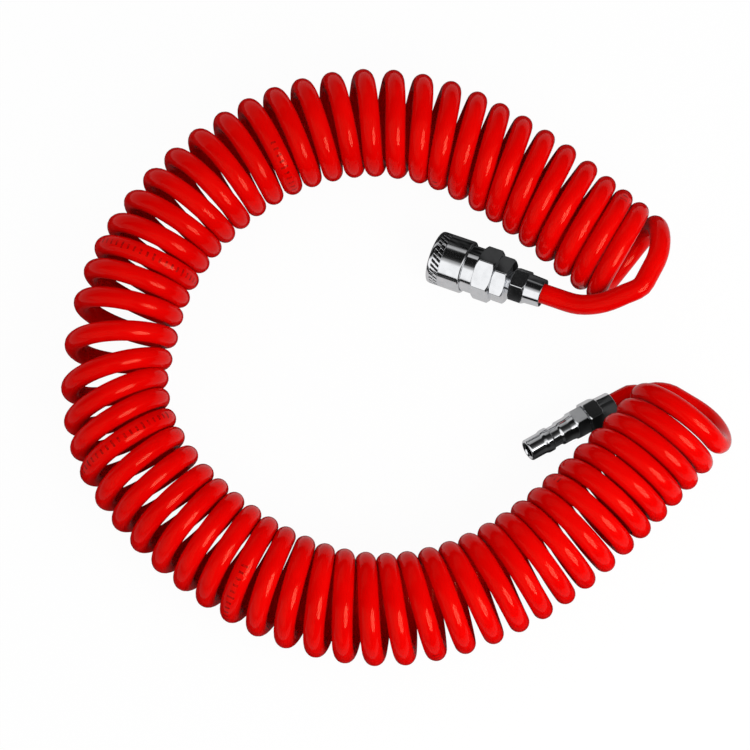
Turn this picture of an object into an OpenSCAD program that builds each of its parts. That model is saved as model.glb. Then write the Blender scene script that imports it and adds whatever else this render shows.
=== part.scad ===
// Coiled air hose: a recoil hose of polyurethane, laid down in a C, with a
// quick-coupler socket on one end and a quick-coupler plug on the other.
// Millimetres, +Z up, standing on z = 0, origin under the middle of the hose.

/* [Hose] */
// Outer diameter of the hose
hose_d = 10; // [9:0.5:10.5]
// Bore of the hose
hose_bore = 6.5; // [5.5:0.5:7]

/* [Coil] */
// Radius of a turn, to the middle of the hose
coil_r = 22; // [20:0.5:26]
// Number of full turns in the coil
coil_turns = 59; // [50:1:60]
// How far the last quarter turn at the plug's end opens out along the coil
plug_end_opening = 9.5; // [7:0.5:10]
// How far that quarter turn swings round towards the plug, in degrees
plug_end_swing = 16; // [8:2:18]
// How far the last quarter turn at the socket's end opens out along the coil
socket_end_opening = 8.5; // [4:0.5:10]
// How deep the turns are flattened where they lie on the ground
foot_cut = 1; // [0.5:0.1:1.5]

/* [Hose nuts] */
// Width across flats of the nut on the socket
socket_nut_af = 16; // [15:0.5:17]
// Width across flats of the nut on the plug
plug_nut_af = 15; // [14.5:0.5:17]
// Length of the hexagon of a nut
nut_hex_len = 7.6; // [6:0.2:10]
// Length of the round tail of a nut
nut_tail_len = 8.4; // [6:0.2:12]
// Diameter of the thread under a nut
nut_thread_d = 12; // [11.8:0.1:12.4]
// Bore of the stem that the hose is pushed over
stem_bore = 4.4; // [3:0.2:4.8]

/* [Socket body] */
// Width across flats of the hexagon of the socket body
body_af = 24; // [22:0.5:28]
// Length of the hexagon of the socket body
body_hex_len = 9.4; // [9:0.2:14]
// Diameter of the collar behind the sleeve
collar_d = 23.6; // [22.4:0.2:23.8]
// Length of the collar that shows between the sleeve and the hexagon
collar_len = 6; // [5:0.2:8]
// Outer diameter of the barrel that holds the balls
barrel_d = 17.8; // [17.4:0.1:18]
// Bore of the mouth, a little wider than the throat behind it
mouth_d = 12.8; // [12.8:0.1:13]
// Length of the mouth, in front of the balls
mouth_len = 2.7; // [2:0.1:2.8]
// Diameter of the valve chamber
chamber_d = 16; // [15.6:0.2:16.4]

/* [Adapter] */
// Width across flats of the hexagon of the adapter
adapter_af = 21; // [19:0.5:23]
// Length of the hexagon of the adapter
adapter_hex_len = 7.2; // [6:0.2:11]
// Length of the neck that shows between the hexagon and the nut
neck_len = 1.8; // [1:0.2:3]
// Diameter of the thread that screws into the socket body
adapter_thread_d = 17; // [16.8:0.1:17.4]
// Length of the thread that screws into the socket body
adapter_thread_len = 5.1; // [4.5:0.1:6]

/* [Locking sleeve] */
// Outer diameter of the sleeve
sleeve_d = 27; // [26:0.2:28]
// Length of the sleeve
sleeve_len = 17.8; // [17.2:0.1:18.4]
// How far the sleeve is pulled back to let a plug go
sleeve_travel = 3.5; // [3:0.1:3.6]
// Width of the knurled band at the front of the sleeve
knurl_len = 5.2; // [3:0.2:6]
// Wire diameter of the sleeve spring
sleeve_spring_wire = 0.9; // [0.6:0.1:1]

/* [Locking balls] */
// Diameter of a locking ball
ball_d = 3.5; // [3.3:0.1:3.5]
// Height of a ball's middle above the axis when it locks
ball_lock_r = 7.35; // [7.3:0.05:7.4]
// How far a ball moves out when the sleeve is pulled back
ball_lift = 0.8; // [0.7:0.05:0.8]

/* [Check valve] */
// Travel of the valve when a plug pushes it open
valve_travel = 5; // [4:0.2:5.2]
// Outer diameter of the valve's guide tube
valve_tube_d = 9.2; // [8.6:0.2:9.6]
// Wire diameter of the valve spring
valve_spring_wire = 0.7; // [0.5:0.1:0.8]

/* [Plug] */
// Diameter of the plug's nose
nose_d = 11; // [10.4:0.1:11]
// Diameter of the shoulder that the balls lock behind
shoulder_d = 12.2; // [12:0.1:12.2]
// Diameter of the groove behind the shoulder
groove_d = 10.6; // [9.8:0.1:10.6]
// Bore of the plug
plug_bore = 7.4; // [6:0.2:7.8]
// Length of the nose in front of the shoulder
nose_len = 8.2; // [7:0.2:10]
// Width across flats of the plug's hexagon
plug_af = 14; // [13:0.5:16]
// Length of the plug's hexagon
plug_hex_len = 7; // [5:0.2:9]

/* [Lie of the couplers] */
// Rise of the plug towards its tip, in degrees
plug_rise = 9; // [0:1:14]
// Gap between the sleeve's rim and the ground
rim_gap = 0.3; // [0.1:0.1:1]
// How far the hexagon of the socket body is turned, in degrees
body_turn = 10; // [0:5:55]
// How far the hexagon of the adapter is turned, in degrees
adapter_turn = 0; // [0:5:55]
// How far the hexagon of the nut on the socket is turned, in degrees
socket_nut_turn = 40; // [0:5:55]
// How far the hexagon of the plug is turned, in degrees
plug_turn = 55; // [0:5:55]
// How far the hexagon of the nut on the plug is turned, in degrees
plug_nut_turn = 45; // [0:5:55]

/* [Clearances] */
// Radial clearance of a part that slides or turns on another
running_gap = 0.1; // [0.08:0.01:0.15]
// Radial clearance of a part that is pushed or screwed on another
fitting_gap = 0.05; // [0.03:0.01:0.08]
// Clearance between faces that come to rest against each other
seat_gap = 0.1; // [0.05:0.01:0.2]

/* [Hidden] */
chrome = [0.78, 0.79, 0.8];
steel = [0.6, 0.61, 0.63];
brass = [0.8, 0.66, 0.36];
rubber = [0.09, 0.09, 0.09];
hose_red = [0.83, 0.01, 0.01];
$fn = 64;

// Middle line of the coil from the plug's end to the socket's end, each point
// [x, y, how far the turns lean there in degrees], at equal counts of turns.
axis_route = [
    [150, -21, 1], [131.5, -40.5, -1], [112, -60, -1], [90.5, -79.5, -2],
    [67, -96, -2], [39, -108.5, 0], [7.5, -114, 1], [-23.5, -110.5, 3],
    [-53, -99, 1], [-78.5, -82.5, -1], [-101.5, -61.5, -3], [-120, -35.5, 5],
    [-127, -5.5, 17], [-121, 34.5, -3], [-109.5, 62.5, 1], [-90.5, 87.5, -1],
    [-65.5, 108.5, -5], [-37, 122.5, -2], [-4, 128.5, -1], [29, 124, 4],
    [57.5, 110.5, 9], [82.5, 93.5, 7], [105.5, 74, 5], [126, 57, 5]];
// Free stretches of the hose, between the coil's straight ends and the nuts.
plug_tail_route = [[141.5, -5, 4.5], [133.5, -6.5, 5]];
socket_tail_route = [[120, 36, 44.5], [110.5, 33.5, 38], [101, 34, 31.5]];
// Where the hose enters each nut, and the way that each coupler points in plan.
plug_exit = [118, -12, 9];
plug_heading = 209.5;
socket_exit = [83.2, 40.9, 25.5];
socket_heading = 157.5;

// The hose
hose_r = hose_d / 2;
coil_z = coil_r + hose_r - foot_cut;
rings_per_turn = 8;
coil_sides = 6;
tail_sides = 8;
turns_before = -0.25;
turns_after = coil_turns + 0.25;
// Turn from which the plug's end opens out, a little before the full turns end
plug_end_start = 0.1;
route_spans = len(axis_route) - 1;

// How far solids that are joined run into each other, and cuts run past a face
lap = 1;

// Depths behind the rim of the sleeve
mouth_depth = 0.7;
ring_depth = 2.3;
ball_depth = 5.5;
land_depth = 7.6;
packing_depth = 12.4;
// Lengths along the socket's axis
nut_step_len = 1;
skirt_lap = 0.7;
ring_len = 1;
packing_len = 2.8;
lip_len = 0.8;
flange_len = 1.2;
guide_len = 2;
guide_play = 0.8;
// Steps between radii
ring_groove_depth = 0.7;
ring_width = 2;
lip_step = 0.4;
packing_step = 0.5;
// Rings, wires and walls inside
oring_wire = 1;
sleeve_spring_turns = 3;
valve_spring_turns = 4;
spring_rings = 12;
valve_wall = 1;

// Stations of the socket along its axis, from the hose to the mouth
nut_len = nut_hex_len + nut_tail_len;
thread_start = nut_tail_len + nut_step_len;
adapter_hex_z = nut_len + neck_len;
body_z = adapter_hex_z + adapter_hex_len;
collar_z = body_z + body_hex_len;
sleeve_z = collar_z + collar_len;
front_z = sleeve_z + sleeve_len;
barrel_z = sleeve_z + skirt_lap;
mouth_z = front_z - mouth_depth;
ring_z = front_z - ring_depth;
stop_z = ring_z - seat_gap;
ball_z = front_z - ball_depth;
land_z = front_z - land_depth;
packing_top_z = front_z - packing_depth;
packing_z = packing_top_z - seat_gap - packing_len;
lip_z = packing_z - seat_gap;
guide_face_z = body_z + adapter_thread_len;
flange_top_z = lip_z - lip_len - 2 * seat_gap;
flange_z = flange_top_z - flange_len;
guide_bottom_z = guide_face_z - guide_len - valve_travel - guide_play;

// Radii of the socket
mouth_r = mouth_d / 2;
throat_r = shoulder_d / 2 + running_gap;
barrel_r = barrel_d / 2;
collar_r = collar_d / 2;
sleeve_r = sleeve_d / 2;
chamber_r = chamber_d / 2;
thread_r = nut_thread_d / 2;
adapter_thread_r = adapter_thread_d / 2;
stem_r = hose_bore / 2 - fitting_gap;
spring_room_r = collar_r + 2 * running_gap;
land_r = barrel_r + running_gap;
ring_groove_r = barrel_r - ring_groove_depth;
ring_r = ring_groove_r + ring_width;
lip_r = throat_r + lip_step;
valve_nose_r = lip_r - 4 * running_gap;
packing_r = chamber_r - packing_step;
oring_groove_r = adapter_thread_r - oring_wire - fitting_gap;
valve_tube_r = valve_tube_d / 2;
ball_step = 60;
ball_r = ball_d / 2;
ball_hole_r = ball_r + fitting_gap;

// Ramp inside the sleeve, along which the balls climb as it is pulled back
ramp = atan2(ball_lift, sleeve_travel);
ramp_r = ball_lock_r + (ball_r + fitting_gap) / cos(ramp);
function ramp_at(z) = ramp_r + (z - ball_z) * tan(ramp);
ramp_z = ball_z + (land_r - ramp_r) / tan(ramp);

// Stations and radii of the plug, from the hose to the tip
plug_neck_len = 0.4;
plug_collar_len = 9;
groove_len = 4.2;
shoulder_len = 5.2;
plug_hex_z = nut_len + plug_neck_len;
plug_collar_z = plug_hex_z + plug_hex_len;
groove_z = plug_collar_z + plug_collar_len;
shoulder_z = groove_z + groove_len;
nose_z = shoulder_z + shoulder_len;
tip_z = nose_z + nose_len;
nose_r = nose_d / 2;
shoulder_r = shoulder_d / 2;
groove_r = groove_d / 2;
plug_bore_r = plug_bore / 2;

// Fall of the socket towards its mouth, so that its rim just clears the ground
rim_reach = norm([front_z, sleeve_r]);
socket_fall = asin((socket_exit[2] - rim_gap) / rim_reach) - atan2(sleeve_r, front_z);

// A smooth curve through points at equal steps, u from 0 to the number of spans
function curve_at(pts, u) =
    let (last = len(pts) - 1)
    let (i = min(floor(max(u, 0)), last - 1))
    let (f = u - i)
    let (b = pts[i])
    let (c = pts[i + 1])
    let (a = i > 0 ? pts[i - 1] : 2 * b - c)
    let (d = i < last - 1 ? pts[i + 2] : 2 * c - b)
    0.5 * (2 * b + (c - a) * f + (2 * a - 5 * b + 4 * c - d) * f * f
        + (3 * b - a - 3 * c + d) * f * f * f);
function flat(v) = [v[0], v[1]];
function unit(v) = v / norm(v);
// A step from 0 to 1 that starts and ends gently
function eased(f) = f * f * (3 - 2 * f);
// How much of its opening out each end has done at turn t, and how far that takes it
function share(f) = eased(max(0, min(f, 1)));
function plug_end(t) = share((plug_end_start - t) / (plug_end_start - turns_before));
function socket_end(t) = share((t - coil_turns) / (turns_after - coil_turns));
function opened(t) = socket_end_opening * socket_end(t) - plug_end_opening * plug_end(t);
function axis_plain(t) = curve_at(axis_route, t / coil_turns * route_spans);
function axis_way(t) =
    unit(flat(axis_plain(min(t + 0.05, coil_turns)) - axis_plain(max(t - 0.05, 0))));
function axis_at(t) =
    let (held = max(0, min(t, coil_turns)))
    let (past = t - held)
    let (pitch = norm(flat(axis_plain(held) - axis_plain(held + (past < 0 ? 0.5 : -0.5)))) * 2)
    let (p = flat(axis_plain(held)))
    p + axis_way(held) * (past * pitch + opened(t));
function lean_at(t) =
    axis_plain(max(0, min(t, coil_turns)))[2] + plug_end_swing * plug_end(t);
// The way from the middle line out to the hose, in plan
function outward(t) =
    let (w = axis_way(max(0, min(t, coil_turns))))
    let (turned = atan2(w[1], w[0]) + 90 + lean_at(t))
    [cos(turned), sin(turned)];
function helix_at(t) =
    let (a = axis_at(t))
    let (n = outward(t))
    [a[0] + n[0] * coil_r * cos(360 * t), a[1] + n[1] * coil_r * cos(360 * t),
        coil_z + coil_r * sin(360 * t)];
function spoke_at(t) =
    let (n = outward(t))
    [n[0] * cos(360 * t), n[1] * cos(360 * t), sin(360 * t)];

// Coil's points, with a straight run of one hose diameter at each end
function level(v) = unit([v[0], v[1], 0]);
coil_steps = round((turns_after - turns_before) * rings_per_turn);
coil_start_way = level(helix_at(turns_before) - helix_at(turns_before + 0.02));
coil_end_way = level(helix_at(turns_after) - helix_at(turns_after - 0.02));
coil_first = helix_at(turns_before);
coil_last = helix_at(turns_after);
coil_start = coil_first + coil_start_way * hose_d;
coil_end = coil_last + coil_end_way * hose_d;
coil_turned = [for (i = [0:coil_steps]) helix_at(turns_before + i / rings_per_turn)];
coil_points = concat([coil_start], coil_turned, [coil_end]);
coil_spokes = concat([spoke_at(turns_before)],
    [for (i = [0:coil_steps]) spoke_at(turns_before + i / rings_per_turn)],
    [spoke_at(turns_after)]);

// A ring of points round p, square to way, with a corner towards spoke
function ring(p, way, spoke, r, sides) =
    let (w = unit(way))
    let (s = unit(spoke - w * (w * spoke)))
    let (b = cross(w, s))
    [for (k = [0:sides - 1]) p + s * r * cos(360 * k / sides) + b * r * sin(360 * k / sides)];
function way_at(pts, i) =
    i == 0 ? pts[1] - pts[0]
    : i == len(pts) - 1 ? pts[i] - pts[i - 1]
    : unit(pts[i + 1] - pts[i]) + unit(pts[i] - pts[i - 1]);
coil_rings = [for (i = [0:len(coil_points) - 1])
    ring(coil_points[i], way_at(coil_points, i), coil_spokes[i], hose_r, coil_sides)];

// The ways that the couplers point, and the curved tails up to their straight hose ends
function pointing(heading, rise) =
    [cos(heading) * cos(rise), sin(heading) * cos(rise), sin(rise)];
plug_way = pointing(plug_heading, plug_rise);
socket_way = pointing(socket_heading, -socket_fall);
plug_tail_end = plug_exit - plug_way * hose_d;
socket_tail_end = socket_exit - socket_way * hose_d;
plug_tail_knots = concat([coil_start], plug_tail_route, [plug_tail_end]);
socket_tail_knots = concat([coil_end], socket_tail_route, [socket_tail_end]);
function bent(pts, way0, way1, steps) =
    let (last = len(pts) - 1)
    let (reach0 = norm(pts[1] - pts[0]))
    let (reach1 = norm(pts[last] - pts[last - 1]))
    let (all = concat([pts[1] - 2 * way0 * reach0], pts, [pts[last - 1] + 2 * way1 * reach1]))
    [for (i = [0:steps * last]) curve_at(all, 1 + i / steps)];
tail_steps = 3;
plug_tail = bent(plug_tail_knots, coil_start_way, plug_way, tail_steps);
socket_tail = bent(socket_tail_knots, coil_end_way, socket_way, tail_steps);
function tail_ways(pts, way0, way1) = [for (i = [0:len(pts) - 1])
    i == 0 ? way0 : i == len(pts) - 1 ? way1 : way_at(pts, i)];
// Spokes are carried along a tail from ring to ring, so that its sides don't twist
function carried(ways, i, s) =
    let (w = unit(ways[i]))
    let (t = unit(s - w * (w * s)))
    i == len(ways) - 1 ? [t] : concat([t], carried(ways, i + 1, t));
function tail_rings(pts, ways, spoke) =
    let (spokes = carried(ways, 0, spoke))
    [for (i = [0:len(pts) - 1]) ring(pts[i], ways[i], spokes[i], hose_r, tail_sides)];
plug_tail_rings = tail_rings(plug_tail, tail_ways(plug_tail, coil_start_way, plug_way), [0, 0, 1]);
socket_tail_rings =
    tail_rings(socket_tail, tail_ways(socket_tail, coil_end_way, socket_way), [0, 0, 1]);

// The origin goes under the middle of all that the hose covers
covered = [for (rings = [coil_rings, plug_tail_rings, socket_tail_rings])
    for (r = rings) for (p = r) p];
xs = [for (p = covered) p[0]];
ys = [for (p = covered) p[1]];
middle = [(min(xs) + max(xs)) / 2, (min(ys) + max(ys)) / 2, 0];

// Least gap between the hose's own turns, measured between corners and edge middles
function around(r) = [for (k = [0:len(r) - 1])
    for (f = [0, 0.5]) r[k] * (1 - f) + r[(k + 1) % len(r)] * f];
coil_skin = [for (r = coil_rings) around(r)];
function least_gap() = min([for (i = [0:len(coil_skin) - 8])
    for (j = [i + 7:min(i + 9, len(coil_skin) - 1)])
        for (p = coil_skin[i]) for (q = coil_skin[j]) norm(p - q)]);
function least_to(pts, skin) = min([for (p = pts) for (r = skin) for (q = r) norm(p - q)]);
function run_length(pts) = len(pts) < 2 ? 0
    : [for (i = [1:len(pts) - 1]) norm(pts[i] - pts[i - 1])] * [for (i = [1:len(pts) - 1]) 1];

// A closed tube through rings of points
module tube(rings) {
    sides = len(rings[0]);
    last = len(rings) - 1;
    polyhedron(
        points = [for (r = rings) for (p = r) p],
        faces = concat(
            [for (i = [0:last - 1]) for (k = [0:sides - 1])
                let (n = (k + 1) % sides)
                [i * sides + k, (i + 1) * sides + k, (i + 1) * sides + n]],
            [for (i = [0:last - 1]) for (k = [0:sides - 1])
                let (n = (k + 1) % sides)
                [i * sides + k, (i + 1) * sides + n, i * sides + n]],
            [for (k = [1:sides - 2]) [0, k, k + 1]],
            [for (k = [1:sides - 2]) [last * sides, last * sides + k + 1, last * sides + k]]));
}

// A part of the socket or of the plug, turned from its own axis into its place
module in_socket() {
    translate(socket_exit - middle)
        rotate([0, 90 + socket_fall, socket_heading])
            children();
}
module in_plug() {
    translate(plug_exit - middle)
        rotate([0, 90 - plug_rise, plug_heading])
            children();
}
// A round bar between two stations
module bar(r, z0, z1) {
    translate([0, 0, z0]) cylinder(r = r, h = z1 - z0);
}
// A hexagon between two stations, its corners turned down at both ends
module hexagon(af, z0, z1, turn) {
    corner = af / 2 / cos(30);
    past_corner = corner + 0.01;
    face = af / 2 + 0.35;
    chamfer = (corner - face) * 0.6 + 0.3;
    intersection() {
        rotate([0, 0, turn]) translate([0, 0, z0]) cylinder(r = corner, h = z1 - z0, $fn = 6);
        rotate_extrude()
            polygon([[0, z0], [face, z0], [past_corner, z0 + chamfer],
                [past_corner, z1 - chamfer], [face, z1], [0, z1]]);
    }
}

// A stretch of hose, cut flat where it lies on the ground
module lying(rings) {
    ground = 2 * max(max(xs) - min(xs), max(ys) - min(ys));
    difference() {
        translate(-middle) tube(rings);
        translate([-ground / 2, -ground / 2, -hose_d]) cube([ground, ground, hose_d]);
    }
}
module hose_coil() {
    color(hose_red) lying(coil_rings);
}
module hose_tail_socket() {
    color(hose_red) translate(-middle) tube(socket_tail_rings);
}
module hose_tail_plug() {
    color(hose_red) lying(plug_tail_rings);
}
// The last stretch of the hose, outside the nut and over the stem inside it
module hose_end() {
    difference() {
        bar(hose_r, -hose_d, thread_start - seat_gap);
        bar(hose_bore / 2, -hose_d - lap, thread_start + lap);
    }
}
module hose_end_socket() {
    color(hose_red) in_socket() hose_end();
}
module hose_end_plug() {
    color(hose_red) in_plug() hose_end();
}

// The nut that clamps the hose on its stem
module hose_nut(af, turn) {
    tail_r = af / 2 - 0.5;
    taper = 0.4;
    edge = 0.3;
    difference() {
        union() {
            hexagon(af, nut_tail_len, nut_len, turn);
            rotate_extrude()
                polygon([[0, 0], [tail_r - taper - edge, 0], [tail_r - taper, edge],
                    [tail_r, nut_tail_len], [tail_r, nut_tail_len + lap], [0, nut_tail_len + lap]]);
        }
        bar(hose_r + fitting_gap, -lap, thread_start);
        bar(thread_r + fitting_gap, nut_tail_len, nut_len + lap);
    }
}
module socket_hose_nut() {
    color(chrome) in_socket() hose_nut(socket_nut_af, socket_nut_turn);
}
module plug_hose_nut() {
    color(chrome) in_plug() hose_nut(plug_nut_af, plug_nut_turn);
}
// The stem that the hose is pushed over, and the thread that takes the nut
module hose_stem(shoulder_station) {
    stem_z = 0.5;
    bar(stem_r, stem_z, thread_start + lap);
    bar(thread_r, thread_start, shoulder_station);
}

// The adapter between the hose nut and the socket body
module hose_adapter() {
    oring_groove_len = oring_wire + 2 * seat_gap;
    color(chrome) in_socket()
        difference() {
            union() {
                hose_stem(adapter_hex_z + lap);
                hexagon(adapter_af, adapter_hex_z, body_z, adapter_turn);
                bar(adapter_thread_r, body_z - lap, guide_face_z);
            }
            bar(stem_bore / 2, 0, guide_face_z + lap);
            bar(valve_tube_r + running_gap, guide_bottom_z, guide_face_z + lap);
            difference() {
                bar(adapter_thread_r + lap, body_z, body_z + oring_groove_len);
                bar(oring_groove_r, body_z - lap, body_z + oring_groove_len + lap);
            }
        }
}
module adapter_oring() {
    color(rubber) in_socket()
        translate([0, 0, body_z + seat_gap + oring_wire / 2])
            rotate_extrude()
                translate([oring_groove_r + fitting_gap + oring_wire / 2, 0])
                    circle(d = oring_wire);
}

// A hole that holds a ball, narrower at the bore so that the ball can't fall in
module ball_hole() {
    narrow = ball_hole_r - 0.3;
    neck = 0.65;
    translate([0, 0, throat_r - lap / 2]) cylinder(r = narrow, h = lap);
    translate([0, 0, throat_r]) cylinder(r1 = narrow, r2 = ball_hole_r, h = neck);
    translate([0, 0, throat_r + neck]) cylinder(r = ball_hole_r, h = barrel_r - throat_r + lap);
}
module at_ball(k) {
    rotate([0, 0, k * ball_step]) translate([0, 0, ball_z]) rotate([0, 90, 0]) children();
}
module socket_body() {
    color(chrome) in_socket()
        difference() {
            union() {
                hexagon(body_af, body_z, collar_z, body_turn);
                bar(collar_r, collar_z - lap, barrel_z);
                bar(barrel_r, barrel_z - lap, mouth_z);
            }
            bar(adapter_thread_r + fitting_gap, body_z - lap, guide_face_z + 2 * seat_gap);
            bar(chamber_r, guide_face_z, lip_z - lip_len);
            bar(lip_r, guide_face_z, lip_z + lap);
            bar(packing_r + seat_gap, lip_z, packing_top_z);
            bar(throat_r, lip_z, mouth_z + lap);
            bar(mouth_r, mouth_z - mouth_len, mouth_z + lap);
            difference() {
                bar(barrel_r + lap, ring_z - fitting_gap, ring_z + ring_len + fitting_gap);
                bar(ring_groove_r, ring_z - lap, ring_z + ring_len + lap);
            }
            for (k = [0:5]) at_ball(k) ball_hole();
        }
}

// The sleeve: a room for its spring, a land on the barrel, and the ramp for the balls
module locking_sleeve() {
    rim = 1.2;
    round_off = 0.35;
    edge = 0.6;
    score = 0.3;
    web = 5;
    ring_play = 0.3;
    band_z = front_z - rim - knurl_len;
    color(chrome) in_socket()
        difference() {
            rotate_extrude()
                polygon([[land_r, sleeve_z + web], [spring_room_r - lap / 2, sleeve_z],
                    [sleeve_r - edge, sleeve_z], [sleeve_r, sleeve_z + edge],
                    [sleeve_r, band_z - score], [sleeve_r - score, band_z],
                    [sleeve_r, band_z + score], [sleeve_r, front_z - rim],
                    [sleeve_r - round_off, front_z - round_off], [sleeve_r - rim, front_z],
                    [land_r, front_z]]);
            bar(spring_room_r, sleeve_z - lap, land_z);
            bar(land_r, land_z - lap, ramp_z + lap);
            translate([0, 0, ramp_z])
                cylinder(r1 = land_r, r2 = ramp_at(stop_z), h = stop_z - ramp_z);
            bar(ring_r + ring_play, stop_z, front_z + lap);
        }
}
module sleeve_snap_ring() {
    gap = 3;
    color(steel) in_socket()
        difference() {
            bar(ring_r, ring_z, ring_z + ring_len);
            bar(ring_groove_r + fitting_gap, ring_z - lap, ring_z + ring_len + lap);
            translate([0, -gap / 2, ring_z - lap]) cube([ring_r + lap, gap, ring_len + 2 * lap]);
        }
}
// A wire wound between two faces
function spring_points(z0, z1, r, wire, turns) =
    let (low = z0 + wire / 2 + seat_gap)
    let (high = z1 - wire / 2 - seat_gap)
    let (last = turns * spring_rings)
    [for (i = [0:last]) [r * cos(360 / spring_rings * i), r * sin(360 / spring_rings * i),
        low + (high - low) * i / last]];
module spring(z0, z1, r, wire, turns) {
    pts = spring_points(z0, z1, r, wire, turns);
    tube([for (i = [0:len(pts) - 1])
        ring(pts[i], way_at(pts, i), [pts[i][0], pts[i][1], 0], wire / 2, coil_sides)]);
}
// Half way between the barrel and the sleeve, between the wire's corners and its chords
module sleeve_spring() {
    wound_r = (barrel_r + spring_room_r) / (1 + cos(180 / spring_rings));
    color(steel) in_socket()
        spring(barrel_z, land_z, wound_r, sleeve_spring_wire, sleeve_spring_turns);
}
module locking_ball(k) {
    color(steel) in_socket()
        rotate([0, 0, (k - 1) * ball_step])
            translate([ball_lock_r, 0, ball_z]) sphere(r = ball_r);
}
module main_packing() {
    nip = 0.1;
    color(rubber) in_socket()
        difference() {
            bar(packing_r, packing_z, packing_z + packing_len);
            bar(nose_r - nip, packing_z - lap, packing_z + packing_len + lap);
        }
}
// The valve: a face that closes the packing, a flange, and a tube with windows for the air
module valve_poppet() {
    windows = 4;
    window_r = 1.6;
    window_z = flange_z - window_r - valve_wall;
    flange_r = chamber_r - 0.6;
    color(brass) in_socket()
        difference() {
            union() {
                bar(valve_nose_r, flange_top_z - lap / 2, lip_z);
                bar(flange_r, flange_z, flange_top_z);
                bar(valve_tube_r, guide_face_z - guide_len, flange_z + lap / 2);
            }
            bar(valve_tube_r - valve_wall, guide_face_z - guide_len - lap, flange_z);
            for (k = [0:windows - 1])
                rotate([0, 0, 360 / windows * k]) translate([0, 0, window_z])
                    rotate([0, 90, 0]) cylinder(r = window_r, h = valve_tube_r + lap);
        }
}
// Close round the valve's tube, with its chords clear of it
module valve_spring() {
    wound_r = (valve_tube_r + running_gap + valve_spring_wire / 2) / cos(180 / spring_rings);
    color(steel) in_socket()
        spring(guide_face_z, flange_z, wound_r, valve_spring_wire, valve_spring_turns);
}

// The plug, turned in one piece from the hose's stem to the nose
module plug_body() {
    flare = 0.5;
    flare_len = 3;
    groove_slope_len = 1;
    shoulder_edge_len = 0.6;
    nose_slope_len = 1.6;
    tip_edge = 0.6;
    bore_edge = 0.8;
    color(chrome) in_plug()
        difference() {
            union() {
                hose_stem(plug_hex_z + lap);
                hexagon(plug_af, plug_hex_z, plug_collar_z, plug_turn);
                rotate_extrude()
                    polygon([[0, plug_hex_z + lap], [thread_r, plug_hex_z + lap],
                        [shoulder_r + flare, plug_collar_z],
                        [shoulder_r, plug_collar_z + flare_len],
                        [shoulder_r, groove_z - groove_slope_len], [groove_r, groove_z],
                        [groove_r, shoulder_z], [shoulder_r, shoulder_z + shoulder_edge_len],
                        [shoulder_r, nose_z - nose_slope_len], [nose_r, nose_z],
                        [nose_r, tip_z - tip_edge], [nose_r - tip_edge, tip_z], [0, tip_z]]);
            }
            bar(stem_bore / 2, 0, plug_collar_z);
            bar(plug_bore_r, plug_collar_z - lap, tip_z + lap);
            translate([0, 0, tip_z - bore_edge])
                cylinder(r1 = plug_bore_r, r2 = plug_bore_r + bore_edge + 0.01,
                    h = bore_edge + 0.01);
        }
}

union() {
    echo(middle = middle, turns = turns_after - turns_before, triangles =
        2 * (len(coil_points) - 1) * coil_sides + 2 * (len(plug_tail) + len(socket_tail) - 2)
        * tail_sides);
    echo(hose_length = run_length(coil_points) + run_length(plug_tail) + run_length(socket_tail)
        + 2 * (hose_d + thread_start));
    echo(least_gap_between_turns = least_gap());
    echo(least_gap_of_plug_tail = least_to([for (i = [5:len(plug_tail_rings) - 1])
        for (p = around(plug_tail_rings[i])) p], coil_skin));
    echo(least_gap_of_socket_tail = least_to([for (i = [4:len(socket_tail_rings) - 1])
        for (p = around(socket_tail_rings[i])) p], coil_skin));
}

hose_coil();
hose_tail_socket();
hose_tail_plug();
hose_end_socket();
hose_end_plug();
socket_hose_nut();
hose_adapter();
adapter_oring();
socket_body();
locking_sleeve();
sleeve_snap_ring();
sleeve_spring();
locking_ball(1);  // locking_ball_1
locking_ball(2);  // locking_ball_2
locking_ball(3);  // locking_ball_3
locking_ball(4);  // locking_ball_4
locking_ball(5);  // locking_ball_5
locking_ball(6);  // locking_ball_6
main_packing();
valve_poppet();
valve_spring();
plug_body();
plug_hose_nut();
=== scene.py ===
"""A coiled air hose, laid down in a C, with a quick-coupler socket and plug at its ends."""
from math import asin, atan2, ceil, cos, hypot, pi, radians, sin, tau

import bmesh
import bpy
import numpy as np
from mathutils import Matrix, Vector


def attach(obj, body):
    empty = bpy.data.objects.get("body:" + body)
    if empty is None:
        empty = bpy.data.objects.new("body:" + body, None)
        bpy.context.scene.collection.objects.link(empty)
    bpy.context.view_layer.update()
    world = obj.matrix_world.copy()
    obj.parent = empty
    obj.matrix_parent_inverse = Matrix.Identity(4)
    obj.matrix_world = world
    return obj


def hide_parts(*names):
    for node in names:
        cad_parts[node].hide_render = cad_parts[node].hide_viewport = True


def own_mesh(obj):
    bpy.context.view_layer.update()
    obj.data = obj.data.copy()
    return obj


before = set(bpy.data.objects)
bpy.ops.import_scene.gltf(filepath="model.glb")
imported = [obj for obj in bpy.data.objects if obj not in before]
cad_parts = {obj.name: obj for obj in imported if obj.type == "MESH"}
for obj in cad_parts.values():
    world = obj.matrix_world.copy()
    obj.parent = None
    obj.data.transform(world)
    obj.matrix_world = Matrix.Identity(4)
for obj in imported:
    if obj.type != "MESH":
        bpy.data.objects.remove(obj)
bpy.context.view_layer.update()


# ---- The camera -------------------------------------------------------------------------
# It stands high over the near side of the hose, so that the turns are seen nearly from
# above and the ground side of each turn just shows. It looks at the middle of the lying C.
MM = 0.001
looked_at = Vector((-10.2, -7.3, 26)) * MM
camera_height, camera_distance = radians(80), 0.85
camera = bpy.data.objects.new("camera", bpy.data.cameras.new("camera"))
bpy.context.scene.collection.objects.link(camera)
camera.data.lens, camera.data.sensor_width = 83.2, 36
camera.data.clip_start, camera.data.clip_end = 0.01, 20
camera_side = Vector((0, -cos(camera_height), sin(camera_height)))
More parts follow.
